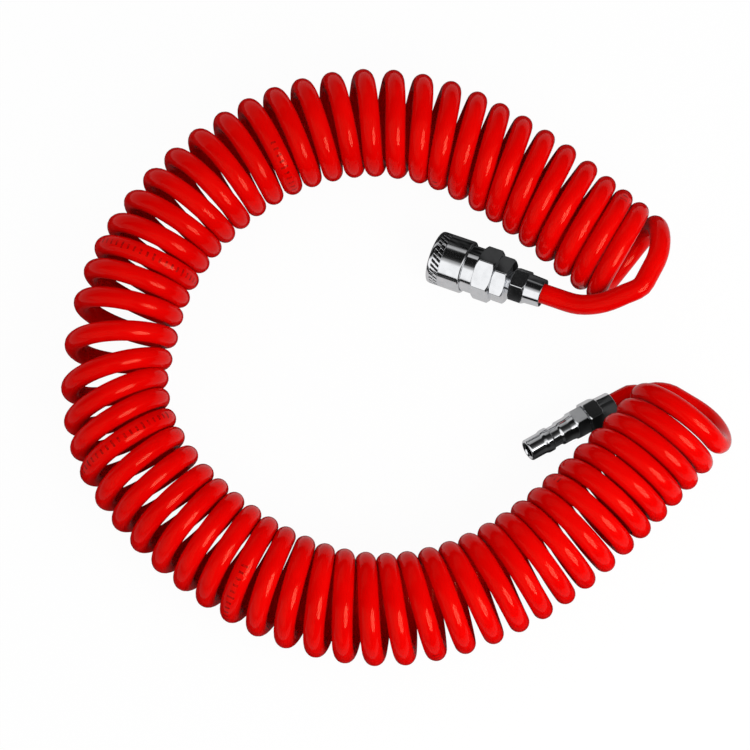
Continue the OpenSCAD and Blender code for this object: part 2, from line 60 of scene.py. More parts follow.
camera.location = looked_at + camera_distance * camera_side
camera.rotation_euler = (looked_at - camera.location).to_track_quat("-Z", "Y").to_euler()
bpy.context.scene.camera = camera
bpy.context.scene.view_settings.view_transform = "Standard"


# ---- The hose ---------------------------------------------------------------------------
# One length of 10 x 6.5 mm polyurethane tube, extruded, wound on a mandrel and heat-set, so
# that it springs back into a coil. 59 turns lie on the ground in a C, and each end runs in
# one bend to its coupler, is pushed over the stem there and is clamped by a nut.
hose_r, hose_bore_r = 5 * MM, 3.25 * MM
coil_r, coil_half_height, coil_middle = 22 * MM, 21.5 * MM, 26.5 * MM
turns = 59
run_on = 0.25                   # the part of a turn that the coil runs on at each end
plug_end_opening, socket_end_opening = 9.5 * MM, 8.5 * MM
plug_end_start, plug_end_swing = 0.1, radians(16)
middle_of_coil = np.array([10.1885, 7.22492, 0]) * MM

# The coil's middle line, from the plug's end: x, y, and how far the turns lean, in degrees
axis_route = np.array([
    (150, -21, 1), (131.5, -40.5, -1), (112, -60, -1), (90.5, -79.5, -2),
    (67, -96, -2), (39, -108.5, 0), (7.5, -114, 1), (-23.5, -110.5, 3),
    (-53, -99, 1), (-78.5, -82.5, -1), (-101.5, -61.5, -3), (-120, -35.5, 5),
    (-127, -5.5, 17), (-121, 34.5, -3), (-109.5, 62.5, 1), (-90.5, 87.5, -1),
    (-65.5, 108.5, -5), (-37, 122.5, -2), (-4, 128.5, -1), (29, 124, 4),
    (57.5, 110.5, 9), (82.5, 93.5, 7), (105.5, 74, 5), (126, 57, 5)]) * (MM, MM, 1)
plug_tail_route = np.array([(141.5, -5, 5), (133.5, -6.5, 5.2)]) * MM
socket_tail_route = np.array([(120, 36, 44.5), (110.5, 33.5, 38), (101, 34, 31.5)]) * MM
plug_exit = np.array([118, -12, 9]) * MM
plug_heading, plug_rise = radians(209.5), radians(9)
socket_height, sleeve_front, sleeve_r, off_ground = 25.5, 58.2, 13.5, 0.3
socket_exit = np.array([83.2, 40.9, socket_height]) * MM
socket_heading = radians(157.5)
# It dips until the rim of its sleeve is just off the ground
socket_fall = (asin((socket_height - off_ground) / hypot(sleeve_front, sleeve_r))
               - atan2(sleeve_r, sleeve_front))
in_nut = 9.3 * MM
straight = 2 * hose_r


def unit(v):
    return v / np.linalg.norm(v, axis=-1, keepdims=True)


def through(points, u):
    """A smooth curve through points, at u from 0 to the number of spans."""
    padded = np.vstack([2 * points[0] - points[1], points, 2 * points[-1] - points[-2]])
    i = np.clip(np.floor(u), 0, len(points) - 2).astype(int)
    f = (u - i)[:, None]
    a, b, c, d = (padded[i + k] for k in range(4))
    return 0.5 * (2 * b + (c - a) * f + (2 * a - 5 * b + 4 * c - d) * f**2
                  + (3 * b - a - 3 * c + d) * f**3)


def axis_plan(t):
    return through(axis_route, t / turns * (len(axis_route) - 1))


def gentle(f):
    f = np.clip(f, 0, 1)
    return f**2 * (3 - 2 * f)


def coil_at(t):
    """The hose's middle at turn t, and the way out to it from the coil's middle line."""
    held, nearby = np.clip(t, 0, turns), 0.05
    way = unit(axis_plan(np.minimum(held + nearby, turns))[:, :2]
               - axis_plan(np.maximum(held - nearby, 0))[:, :2])
    plain = axis_plan(held)
    inwards = axis_plan(np.where(t < turns / 2, held + 0.5, held - 0.5))
    pitch = 2 * np.linalg.norm((plain - inwards)[:, :2], axis=1)
    plug_end = gentle((plug_end_start - t) / (plug_end_start + run_on))
    socket_end = gentle((t - turns) / run_on)
    opened = socket_end_opening * socket_end - plug_end_opening * plug_end
    axis = plain[:, :2] + way * ((t - held) * pitch + opened)[:, None]
    turned = (np.arctan2(way[:, 1], way[:, 0]) + pi / 2 + np.radians(plain[:, 2])
              + plug_end_swing * plug_end)
    out = np.stack([np.cos(turned), np.sin(turned)], axis=1)
    flat, up = np.cos(tau * t)[:, None], np.sin(tau * t)[:, None]
    place = np.hstack([axis + out * coil_r * flat, coil_middle + coil_half_height * up])
    return place, np.hstack([out * flat, up])


def pointing(heading, rise):
    return np.array([cos(heading) * cos(rise), sin(heading) * cos(rise), sin(rise)])


def tail(start, start_way, route, leave, leave_way):
    """The free stretch from the coil's straight end to the straight end at a nut."""
    steps_a_span = 40
    knots = np.vstack([start, route, leave - leave_way * straight])
    reach = np.linalg.norm(knots[1] - knots[0]), np.linalg.norm(knots[-1] - knots[-2])
    knots = np.vstack([knots[1] - 2 * start_way * reach[0], knots,
                       knots[-2] + 2 * leave_way * reach[1]])
    return through(knots, np.linspace(1, len(knots) - 2, steps_a_span * len(route) + 1))


plug_way = pointing(plug_heading, plug_rise)
socket_way = pointing(socket_heading, -socket_fall)
turn_steps = 96
coil_t = np.linspace(-run_on, turns + run_on, round((turns + 2 * run_on) * turn_steps) + 1)
coil_line, coil_out = coil_at(coil_t)
level = np.array([1, 1, 0])
first_way = unit((coil_line[0] - coil_line[1]) * level)
last_way = unit((coil_line[-1] - coil_line[-2]) * level)
first, last = coil_line[0] + first_way * straight, coil_line[-1] + last_way * straight
plug_tail = tail(first, first_way, plug_tail_route, plug_exit, plug_way)
socket_tail = tail(last, last_way, socket_tail_route, socket_exit, socket_way)
line = np.vstack([
    socket_exit + socket_way * in_nut, socket_exit, socket_tail[::-1],
    coil_line[::-1], plug_tail, plug_exit, plug_exit + plug_way * in_nut]) - middle_of_coil
line_out = np.vstack([
    np.zeros((2 + len(socket_tail), 3)), coil_out[::-1], np.zeros((2 + len(plug_tail), 3))])

# Rings at equal steps along it, with corner 0 of each on the side towards the coil's middle
# line; along the tails that side is carried from ring to ring, so that nothing twists
gone = np.concatenate([[0], np.cumsum(np.linalg.norm(np.diff(line, axis=0), axis=1))])
hose_length, ring_step = gone[-1], 2.85 * MM
ring_count = round(hose_length / ring_step) + 1
along = np.linspace(0, hose_length, ring_count)
centres = np.stack([np.interp(along, gone, line[:, k]) for k in range(3)], axis=1)
outs = np.stack([np.interp(along, gone, line_out[:, k]) for k in range(3)], axis=1)
ways = unit(np.gradient(centres, axis=0))
ways[:3], ways[-3:] = -socket_way, plug_way
on_coil = np.flatnonzero(np.linalg.norm(outs, axis=1) > 0.99)
for i in range(on_coil[0] - 1, -1, -1):
    outs[i] = outs[i + 1]
    outs[i] = unit(outs[i] - ways[i] * (outs[i] @ ways[i]))
for i in range(on_coil[-1] + 1, ring_count):
    outs[i] = outs[i - 1]
    outs[i] = unit(outs[i] - ways[i] * (outs[i] @ ways[i]))
outs = unit(outs - ways * np.sum(outs * ways, axis=1, keepdims=True))
asides = np.cross(ways, outs)


def rings_at(places, out, aside, r, sides):
    """Rings of points of radius r, corner 0 on the side away from out."""
    a = tau * np.arange(sides) / sides
    spread = -np.cos(a)[:, None] * out[:, None] - np.sin(a)[:, None] * aside[:, None]
    return places[:, None] + r * spread


def skin(name, rings, joined=False):
    """A mesh through rings of points, with flat ends, or joined end to end."""
    count, sides = rings.shape[:2]
    start = np.arange(count if joined else count - 1)[:, None] * sides
    after = (start + sides) % (count * sides)
    k = np.arange(sides)
    n = (k + 1) % sides
    faces = np.stack([start + k, start + n, after + n, after + k], axis=-1)
    faces = faces.reshape(-1, 4).tolist()
    if not joined:
        faces += [k[::-1].tolist(), (k + (count - 1) * sides).tolist()]
    mesh = bpy.data.meshes.new(name)
    mesh.from_pydata(rings.reshape(-1, 3).tolist(), [], faces)
    piece = bpy.data.objects.new(name, mesh)
    bpy.context.scene.collection.objects.link(piece)
    mesh.polygons.foreach_set("use_smooth", [True] * len(mesh.polygons))
    return piece


hose_sides = 24
bored = 7                       # rings of bore that are made at each end
skin_rings = rings_at(centres, outs, asides, hose_r, hose_sides)
bore_rings = rings_at(centres, outs, asides, hose_bore_r, hose_sides)
hose = skin("hose", np.concatenate([
    bore_rings[bored:bored + 1], bore_rings[:1], skin_rings,
    bore_rings[-1:], bore_rings[-1 - bored:-bored]]))

# Two maps: the share of the way round and the metres along for the finish, and the hose cut
# into strips side by side, with the bores and the two end faces in one more strip
round_hose = np.linspace(0, 1, hose_sides + 1)
strips = 16
strip_rings = ceil(ring_count / strips)
strip_width, strip_used, margin = 34 * MM, 31 * MM, 1 * MM
sheet_side = (strips + 1) * strip_width
bore_row_step, bore_row_height = 30 * MM, 20 * MM
finish_map = hose.data.uv_layers.new(name="round_and_along")
bake_map = hose.data.uv_layers.new(name="OFBake")
along_all = np.concatenate([[bored * along[1], 0], along, [hose_length, along[-1 - bored]]])
quad_ring, quad_side = np.divmod(np.arange((ring_count + 3) * hose_sides), hose_sides)
near, far = along_all[quad_ring], along_all[quad_ring + 1]
left, right = round_hose[quad_side], round_hose[quad_side + 1]
finish_uv = np.stack([left, near, right, near, right, far, left, far], axis=1).reshape(-1, 2)
outer = quad_ring - 2
strip = np.clip(outer // strip_rings, 0, strips - 1)
begun = along[np.minimum(strip * strip_rings, ring_count - 1)]
inner = (quad_ring < 2) | (quad_ring > ring_count)
strip = np.where(inner, strips, strip)
bore_row = np.select(
    [quad_ring == 0, quad_ring == 1, quad_ring == ring_count + 1], [0, 1, 2], 3)
v0 = np.where(inner, bore_row * bore_row_step, near - begun)
v1 = np.where(inner, v0 + bore_row_height, far - begun)
u0 = strip * strip_width + left * strip_used + margin
u1 = strip * strip_width + right * strip_used + margin
bake_uv = np.stack([u0, v0, u1, v0, u1, v1, u0, v1], axis=1).reshape(-1, 2) / sheet_side
turn = tau * np.arange(hose_sides) / hose_sides
cap_uv = np.stack([np.cos(turn), np.sin(turn)], axis=1) * 3 * MM
cap_u, cap_v, cap_step = strips * strip_width + 16 * MM, 140 * MM, 10 * MM
caps = np.vstack([cap_uv + (cap_u, cap_v + cap_step * k) for k in (0, 1)])
finish_map.data.foreach_set("uv", np.vstack([finish_uv, np.zeros_like(caps)]).ravel())
bake_map.data.foreach_set("uv", np.vstack([bake_uv, caps / sheet_side]).ravel())


class Wire:
    """One output of a shader node. Sums on wires add Math nodes to the same tree."""

    def __init__(self, tree, kind, settings=None, sockets=None, output=0):
        """Adds a node: its settings are set first, then its sockets' values or wires."""
        self.tree, self.node = tree, tree.nodes.new("ShaderNode" + kind)
        for name, value in (settings or {}).items():
            if name == "stops":
                stops = self.node.color_ramp.elements
                while len(stops) < len(value):
                    stops.new(1)
                for stop, (place, shade) in zip(stops, value):
                    stop.position = place
                    stop.color = (shade, shade, shade, 1)
            else:
                setattr(self.node, name, value)
        for name, value in (sockets or {}).items():
            self.feed(name, value)
        self.socket = self.node.outputs[output] if self.node.outputs else None

    def feed(self, name, value):
        socket = self.node.inputs[name]
        if isinstance(value, Wire):
            self.tree.links.new(value.socket, socket)
        else:
            socket.default_value = value

    def of(self, output):
        """The same node's output of that name."""
        other = object.__new__(Wire)
        other.tree, other.node, other.socket = self.tree, self.node, self.node.outputs[output]
        return other

    def math(self, operation, a, b=0.0):
        return Wire(self.tree, "Math", {"operation": operation}, {0: a, 1: b})

    def __add__(self, other): return self.math("ADD", self, other)
    def __radd__(self, other): return self.math("ADD", other, self)
    def __sub__(self, other): return self.math("SUBTRACT", self, other)
    def __rsub__(self, other): return self.math("SUBTRACT", other, self)
    def __mul__(self, other): return self.math("MULTIPLY", self, other)
    def __rmul__(self, other): return self.math("MULTIPLY", other, self)
    def __truediv__(self, other): return self.math("DIVIDE", self, other)
    def __mod__(self, other): return self.math("FLOORED_MODULO", self, other)
    def __lt__(self, other): return self.math("LESS_THAN", self, other)
    def __abs__(self): return self.math("ABSOLUTE", self)

    def floor(self):
        return self.math("FLOOR", self)

    def step(self, low, high, to_low=0.0, to_high=1.0):
        """Goes gently from to_low to to_high as the value goes from low to high."""
        return Wire(self.tree, "MapRange", {"interpolation_type": "SMOOTHSTEP"}, {
            "Value": self, "From Min": low, "From Max": high,
            "To Min": to_low, "To Max": to_high})

    def between(self, a, b):
        """The colour from a to b at this share."""
        return Wire(self.tree, "Mix", {"data_type": "RGBA"}, {0: self, 6: a, 7: b}, 2)


def finish(name, constants):
    """A new material with these values on its shader, which is returned with its tree."""
    made = bpy.data.materials.new(name)
    made.use_nodes = True
    shader = made.node_tree.nodes["Principled BSDF"]
    for socket, value in constants.items():
        shader.inputs[socket].default_value = value
    return made, made.node_tree, shader


def drive(tree, shader, **links):
    for socket, wire in links.items():
        tree.links.new(wire.socket, shader.inputs[socket.replace("_", " ")])


# Red polyurethane: glossy, with faint lines from the die, and groups of plain ticks, printed
# small and faint every seven turns or so
polyurethane, tree, shader = finish("red_polyurethane", {
    "IOR": 1.5, "Specular IOR Level": 0.12, "Specular Tint": (1.0, 0.42, 0.25, 1)})
place = Wire(tree, "SeparateXYZ", sockets={
    0: Wire(tree, "UVMap", {"uv_map": "round_and_along"})})
turned, run = place.of("X"), place.of("Y")
group_pitch, group_start, group_length = 0.985, 0.62, 70 * MM
tick_pitch, tick_half_width = 2.8 * MM, 0.16
short_tick, long_tick = 1.3 * MM, 1.9 * MM
in_group = (run + group_start) % group_pitch
tick = in_group / tick_pitch
across = abs(turned - 0.5) * (tau * hose_r)
fifth = (tick.floor() % 5) < 0.5
reach = short_tick + fifth * (long_tick - short_tick)
stroke = ((abs(tick % 1 - 0.5) < tick_half_width) * (across < reach)
          * (in_group < group_length))
lines_round, lines_a_metre = 22, 3
lines = Wire(tree, "TexNoise", {"noise_dimensions": "2D"}, {
    "Vector": Wire(tree, "CombineXYZ", sockets={
        0: turned * lines_round, 1: run * lines_a_metre}),
    "Scale": 1.0, "Detail": 3.0})
cloud = Wire(tree, "TexNoise", {}, {
    "Vector": Wire(tree, "TexCoord", output="Object"), "Scale": 45.0, "Detail": 4.0})
worn = Wire(tree, "TexNoise", {}, {
    "Vector": Wire(tree, "TexCoord", output="Object"), "Scale": 900.0, "Detail": 2.0})
red = cloud.step(0.3, 0.7).between((0.68, 0.0004, 0.0003, 1), (0.76, 0.0010, 0.0006, 1))
inked = (stroke * worn.step(0.35, 0.6, 0.25, 0.75)).between(red, (0.14, 0.002, 0.002, 1))
bump = Wire(tree, "Bump", {}, {"Strength": 0.12, "Distance": 0.0002, "Height": lines})
drive(tree, shader, Base_Color=inked, Normal=bump,
      Roughness=cloud.step(0.3, 0.7, 0.08, 0.12) + stroke * 0.1)
hose.data.materials.append(polyurethane)
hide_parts("hose_coil", "hose_tail_socket", "hose_tail_plug",
            "hose_end_socket", "hose_end_plug")
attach(hose, "root")


# ---- Plated steel -----------------------------------------------------------------------
# The couplers are turned from free-cutting steel bar, polished and plated with nickel and a
# bright skin of chrome. What shows of it is mirror-like, with hairline wiping marks.
def plated(name, streaks, way, leaves=None, knurled=None):
    """Bright plating: wiping marks round the axis called way, and painted shade in a knurled
    band.

    knurled gives the band's two ends along the axis from leaves, and the radii, in mm,
    between which the painted shade in its slots thins out to nothing.
    """
    made, tree, shader = finish(name, {"Metallic": 1.0})
    way = tuple(float(x) for x in way)
    at = Wire(tree, "VectorMath", {"operation": "DOT_PRODUCT"}, {
        0: Wire(tree, "TexCoord", output="Object"), 1: way}, output="Value")
    marks = Wire(tree, "TexNoise", {"noise_dimensions": "1D"}, {
        "W": at * streaks, "Scale": 1.0, "Detail": 4.0})
    spots = Wire(tree, "TexNoise", {}, {
        "Vector": Wire(tree, "TexCoord", output="Object"), "Scale": 260.0, "Detail": 5.0})
    tone = spots.step(0.35, 0.75).between((0.90, 0.91, 0.93, 1), (0.82, 0.83, 0.85, 1))
    rough = spots.step(0.3, 0.75, 0.05, 0.11) + marks.step(0.4, 0.7, 0.0, 0.02)
    if knurled:
        leaves = leaves - middle_of_coil
        z0, z1 = (float(leaves @ way) + z * MM for z in knurled[:2])
        slot_r, crest_r = (r * MM for r in knurled[2:])
        off = Wire(tree, "VectorMath", {"operation": "SUBTRACT"}, {
            0: Wire(tree, "TexCoord", output="Object"), 1: tuple(leaves)})
        reach = Wire(tree, "VectorMath", {"operation": "LENGTH"}, {
            0: Wire(tree, "VectorMath", {"operation": "CROSS_PRODUCT"}, {0: off, 1: way})},
            output="Value")
        # Painted shade: towards the bottom of the knurl's slots the base colour turns near
        # black, and the slots also get rougher
        slot_shade = reach.step(slot_r, crest_r, 1.0, 0.0)
        slot_shade = slot_shade * (1.0 - (at < z0)) * (at < z1)
        tone = slot_shade.between(tone, (0.03, 0.03, 0.03, 1))
        rough = rough + slot_shade * 0.3
    bump = Wire(tree, "Bump", {}, {"Strength": 0.05, "Distance": 0.00003, "Height": marks})
    drive(tree, shader, Base_Color=tone, Normal=bump, Roughness=rough)
    return made


socket_plating = plated("socket_plating", 9000.0, socket_way)
sleeve_plating = plated("sleeve_plating", 9000.0, socket_way, socket_exit,
                        knurled=(51.9, 56.1, 13.2, 13.4))
plug_plating = plated("plug_plating", 9000.0, plug_way)


def placed(leaves, heading, tilt):
    """From a coupler's own axis, with the hose's way in at 0, to its place."""
    return (Matrix.Translation(Vector(leaves - middle_of_coil))
            @ Matrix.Rotation(heading, 4, "Z") @ Matrix.Rotation(tilt, 4, "Y"))


in_socket = placed(socket_exit, socket_heading, pi / 2 + socket_fall)
in_plug = placed(plug_exit, plug_heading, pi / 2 - plug_rise)


def columns(turn, rounded=0.05, flat_steps=10, corner_steps=5):
    """Angles round a bar, and a hexagon's radius at each for 1 across its flats."""
    points = []
    for k in range(6):
        corner = radians(turn + 60 * k)
        centre = (0.5 - rounded) / cos(pi / 6)
        for s in np.linspace(-pi / 6, pi / 6, corner_steps):
            points.append((centre * cos(corner) + rounded * cos(corner + s),
                           centre * sin(corner) + rounded * sin(corner + s)))
        next_corner = radians(turn + 60 * (k + 1))
        a = np.array(points[-1])
        b = np.array((centre * cos(next_corner) + rounded * cos(next_corner - pi / 6),
                      centre * sin(next_corner) + rounded * sin(next_corner - pi / 6)))
        points += [tuple(a + (b - a) * f) for f in np.linspace(0, 1, flat_steps + 1)[1:-1]]
    points = np.array(points)
    return np.arctan2(points[:, 1], points[:, 0]), np.linalg.norm(points, axis=1)


def hexagon(af, z0, z1, shape):
    """Rows of a hexagon from z0 to z1, its corners turned down at both ends."""
    radius, left_flat, broken_edge = af * shape, 0.35, 0.12
    corner, face = af / 2 / cos(pi / 6), af / 2 + left_flat
    slope = ((corner - face) * 0.6 + 0.3) / (corner + 0.01 - face)
    cut = np.hypot(np.maximum(radius - face, 0), broken_edge)
    return [(z0, radius - cut), (z0 + cut * slope, radius),
            (z1 - cut * slope, radius), (z1, radius - cut)]


def turned_piece(name, rows, angles, place, soft=0.12):
    """A closed profile of rows (z, r), in mm, turned round the axis, its edges softened.

    A row may give, after z and r, how far from its edge the softening starts.
    """
    wide = np.array([[np.broadcast_to(np.asarray(x, float), angles.shape) for x in row[:2]]
                     for row in rows])
    softness = np.array([row[2] if len(row) > 2 else soft for row in rows])
    before, after = np.roll(wide, 1, axis=0) - wide, np.roll(wide, -1, axis=0) - wide
    reach0, reach1 = np.linalg.norm(before, axis=1), np.linalg.norm(after, axis=1)
    reach = np.minimum(softness[:, None], 0.45 * np.minimum(reach0, reach1))[:, None]
    before, after = before / reach0[:, None], after / reach1[:, None]
    eased = np.stack([wide + before * reach, wide + (before + after) * reach / 4,
                      wide + after * reach], axis=1).reshape(-1, 2, len(angles))
    z, r = eased[:, 0] * MM, eased[:, 1] * MM
    rings = np.stack([r * np.cos(angles), r * np.sin(angles), z], axis=-1)
    flat = np.concatenate([rings.reshape(-1, 3), np.ones((rings[..., 0].size, 1))], axis=1)
    rings = (flat @ np.array(place).T)[:, :3].reshape(rings.shape)
    piece = skin(name, rings, joined=True)
    mesh = bmesh.new()
    mesh.from_mesh(piece.data)
    bmesh.ops.recalc_face_normals(mesh, faces=mesh.faces)
    mesh.to_mesh(piece.data)
    mesh.free()
    even = piece.modifiers.new("even_faces", "WEIGHTED_NORMAL")
    even.weight = 100
    return piece


def show(piece, material, node, body):
    piece.data.materials.clear()
    piece.data.materials.append(material)
    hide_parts(node)
    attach(piece, body)


# ---- The nuts on the hose ---------------------------------------------------------------
# Each is a hexagon with a round tail that widens a little towards it, bored for the hose and
# threaded inside. Screwed on the stem's thread, its tail grips the hose on the stem.
hose_hole_r, tapped_r = 5.05, 6.05
nut_hex_back, tapped_from, nut_front = 8.4, 9.4, 16
for nut, af, turn, place, material in (
        ("socket_hose_nut", 16, 40, in_socket, socket_plating),
        ("plug_hose_nut", 15, 45, in_plug, plug_plating)):
    angles, shape = columns(turn, rounded=0.035)
    tail_r = af / 2 - 0.5
    rows = [(0, hose_hole_r), (0, tail_r - 0.7), (0.3, tail_r - 0.4),
            (nut_hex_back, tail_r, 0.05), *hexagon(af, nut_hex_back, nut_front, shape),
            (nut_front, tapped_r), (tapped_from, tapped_r), (tapped_from, hose_hole_r)]
    piece = turned_piece(nut + "_turned", rows, angles, place)
    show(piece, material, nut, "root")


# ---- The socket's adapter ---------------------------------------------------------------
# The smaller hexagon: on its one side the stem for the hose and the nut's thread, on its
# other side a thread that screws into the socket body and squeezes an O-ring there.
stem_back, thread_from, adapter_hex_back, seam = 0.5, 9.4, 17.8, 25
air_r, stem_r, thread_r, thread_root_r = 2.2, 3.2, 6, 5.5
oring_front, screwed_in_to, oring_groove_r, screw_r = 26.2, 30.1, 7.45, 8.5
guide_bottom, guide_r = 22.3, 4.7
angles, shape = columns(0)
bare_thread = []
for z in (16.2, 16.7, 17.2):
    bare_thread += [(z, thread_r, 0.04), (z + 0.25, thread_root_r, 0.04)]
rows = [(stem_back, air_r), (stem_back, stem_r, 0.3), (thread_from, stem_r),
        (thread_from, thread_r), *bare_thread, (adapter_hex_back, thread_root_r),
        *hexagon(21, adapter_hex_back, seam, shape),
        (seam, oring_groove_r), (oring_front, oring_groove_r), (oring_front, screw_r),
        (screwed_in_to, screw_r, 0.3), (screwed_in_to, guide_r), (guide_bottom, guide_r),
        (guide_bottom, air_r)]
show(turned_piece("hose_adapter_turned", rows, angles, in_socket), socket_plating,
     "hose_adapter", "root")


# ---- The socket body --------------------------------------------------------------------
# The larger hexagon, the collar behind the sleeve, and the barrel inside the sleeve, which
# holds the valve's chamber, the packing and, in six holes, the locking balls.
body_hex_front, collar_front, barrel_front = 34.4, 41.1, 57.5
collar_r, barrel_r, body_tapped_r = 11.8, 8.9, 8.55
ring_back, ring_front, ring_groove_r = 55.85, 56.95, 8.2
mouth_back, mouth_r, plug_hole_r = 54.8, 6.4, 6.2
packing_back, packing_front, packing_groove_r = 42.8, 45.8, 7.6
chamber_back, chamber_front, chamber_r, lip_r = 30.3, 42, 8, 6.6
angles, shape = columns(10, rounded=0.035)
rows = [(seam, body_tapped_r), *hexagon(24, seam, body_hex_front, shape),
        (body_hex_front, collar_r, 0.05), (collar_front, collar_r, 0.2),
        (collar_front, barrel_r), (ring_back, barrel_r), (ring_back, ring_groove_r),
        (ring_front, ring_groove_r), (ring_front, barrel_r), (barrel_front, barrel_r),
        (barrel_front, mouth_r, 0.25), (mouth_back, mouth_r), (mouth_back, plug_hole_r),
        (packing_front, plug_hole_r), (packing_front, packing_groove_r),
        (packing_back, packing_groove_r), (packing_back, lip_r), (chamber_front, lip_r),
        (chamber_front, chamber_r), (chamber_back, chamber_r), (chamber_back, body_tapped_r)]
body = turned_piece("socket_body_turned", rows, angles, in_socket)
drills, balls, ball_z = bmesh.new(), 6, 52.7 * MM
for k in range(balls):
    for r, depth, middle in ((1.5, 2, 6.4), (1.8, 3, 8.35)):
        bmesh.ops.create_cone(
            drills, cap_ends=True, segments=32,
            radius1=r * MM, radius2=r * MM, depth=depth * MM,
            matrix=in_socket @ Matrix.Rotation(k * tau / balls, 4, "Z")
            @ Matrix.Translation((middle * MM, 0, ball_z)) @ Matrix.Rotation(pi / 2, 4, "Y"))
drill_mesh = bpy.data.meshes.new("drills")
drills.to_mesh(drill_mesh)
drill = bpy.data.objects.new("drills", drill_mesh)
bpy.context.scene.collection.objects.link(drill)
holes = body.modifiers.new("ball_holes", "BOOLEAN")
holes.object, holes.solver, holes.use_self = drill, "EXACT", True
body.modifiers.move(1, 0)
drilled = bpy.data.meshes.new_from_object(
    body.evaluated_get(bpy.context.evaluated_depsgraph_get()))
body.modifiers.clear()
body.data = drilled
bpy.data.objects.remove(drill)
show(body, socket_plating, "socket_body", "root")


# ---- The locking sleeve -----------------------------------------------------------------
# A ring that slides on the barrel against its spring and holds the balls down. It is smooth
# and bright, with a rounded rim and, behind the rim, a rolled band that the fingers grip.
sleeve_columns = 528
sleeve_back, spring_room_r, land_back, land_r = 40.4, 12, 50.6, 9.0
balls_free_from, stop_back, stop_r, ring_room_r = 51.84, 55.8, 9.905, 10.5
band_back, band_front, courses, course_rows = 51.8, 56.2, 2, 12
knurls, knurl_depth, knurl_slant, run_out = 33, 0.5, 0.45, 0.12
slot_half_width, slot_wall = 0.3, 0.25
angles = tau * np.arange(sleeve_columns) / sleeve_columns
rows = [(sleeve_back, spring_room_r), (sleeve_back, sleeve_r - 0.4),
        (sleeve_back + 0.5, sleeve_r, 0.25), (51.5, sleeve_r, 0.06), (51.7, 13.15, 0.05)]
for z in np.linspace(band_back, band_front, courses * course_rows + 1):
    course = (z - band_back) / (band_front - band_back) * courses
    up = course % 1
    lap = knurls * angles / tau + 0.5 * (course >= 1) - knurl_slant * up
    from_slot = np.abs(lap % 1 - 0.5) * 2
    depth = knurl_depth * min(up / run_out, (1 - up) / run_out, 1)
    wall = np.clip((from_slot - slot_half_width) / slot_wall, 0, 1)
    rows.append((z, sleeve_r - depth * (1 - wall), 0.001))
rows += [(56.5, sleeve_r, 0.1), (57.8, 13.3, 0.5), (sleeve_front, 12.5, 0.3),
         (sleeve_front, ring_room_r, 0.1), (stop_back, ring_room_r), (stop_back, stop_r),
         (balls_free_from, land_r), (land_back, land_r), (land_back, spring_room_r)]
sleeve = turned_piece("locking_sleeve_knurled", rows, angles, in_socket)
show(sleeve, sleeve_plating, "locking_sleeve", "sleeve")


# ---- The plug ---------------------------------------------------------------------------
# Turned in one piece: stem and thread for the hose, hexagon, collar, the groove that the
# balls drop into, shoulder, and the nose that seals in the packing and opens the valve.
plug_hex_back, plug_hex_front, plug_front = 16.4, 23.4, 50
plug_r, groove_r, nose_r, tip_r = 6.1, 5.3, 5.5, 4.9
plug_air_r, plug_air_back = 3.7, 22.4
angles, shape = columns(55, rounded=0.035)
rows = [(stem_back, air_r), (stem_back, stem_r, 0.3), (thread_from, stem_r),
        (thread_from, thread_r), (plug_hex_back, thread_r),
        *hexagon(14, plug_hex_back, plug_hex_front, shape), (plug_hex_front, 6.6, 0.05),
        (26.4, plug_r, 0.4), (31.4, plug_r, 0.25), (32.4, groove_r, 0.3),
        (36.6, groove_r, 0.2), (37.2, plug_r, 0.2), (40.2, plug_r, 0.3), (41.8, nose_r, 0.4),
        (49.4, nose_r, 0.3), (plug_front, tip_r, 0.2), (plug_front, 4.5, 0.1),
        (49.2, plug_air_r), (plug_air_back, plug_air_r), (plug_air_back, air_r)]
plug = turned_piece("plug_body_turned", rows, angles, in_plug)
show(plug, plug_plating, "plug_body", "root")


# ---- The springs ------------------------------------------------------------------------
# Round spring wire: one under the sleeve, which pushes it to the mouth, and one round the
# valve's tube, which keeps the valve shut.
spring_steel, tree, shader = finish("spring_steel", {"Metallic": 1.0})
grain = Wire(tree, "TexNoise", {}, {
    "Vector": Wire(tree, "TexCoord", output="Object"), "Scale": 1400.0, "Detail": 3.0})
bump = Wire(tree, "Bump", {}, {"Strength": 0.1, "Distance": 0.00003, "Height": grain})
drive(tree, shader, Normal=bump, Roughness=grain.step(0.3, 0.7, 0.16, 0.3),
      Base_Color=grain.step(0.3, 0.7).between((0.56, 0.57, 0.60, 1), (0.44, 0.44, 0.46, 1)))


def wound(name, z0, z1, r, wire, turns):
    """A spring between the faces z0 and z1, in mm."""
    steps_a_turn, play, wire_sides = 28, 0.1, 10
    t = np.linspace(0, turns, turns * steps_a_turn + 1)
    low, high = z0 + wire / 2 + play, z1 - wire / 2 - play
    z = low + (high - low) * t / turns
    line = np.stack([r * np.cos(tau * t), r * np.sin(tau * t), z], axis=1) * MM
    way = unit(np.gradient(line, axis=0))
    out = line * (1, 1, 0)
    out = unit(out - way * np.sum(out * way, axis=1, keepdims=True))
    rings = rings_at(line, out, np.cross(way, out), wire / 2 * MM, wire_sides)
    piece = skin(name, rings)
    piece.data.transform(in_socket)
    piece.data.materials.append(spring_steel)
    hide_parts(name.removesuffix("_wire"))
    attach(piece, "root")
    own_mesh(piece)


valve_flange = 40.6
wound("sleeve_spring_wire", collar_front, land_back, r=10.5, wire=0.9, turns=3)
wound("valve_spring_wire", screwed_in_to, valve_flange, r=5.05, wire=0.7, turns=4)


# ---- What else is inside ----------------------------------------------------------------
# Hardened balls and a snap ring of steel, a valve turned from brass, and a packing and an
# O-ring of black nitrile rubber. Their solids have their shapes, and get their finishes.
def refinish(node, material):
    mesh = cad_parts[node].data
    mesh.materials.clear()
    mesh.materials.append(material)


for k in range(1, balls + 1):
    refinish(f"locking_ball_{k}", spring_steel)
refinish("sleeve_snap_ring", spring_steel)

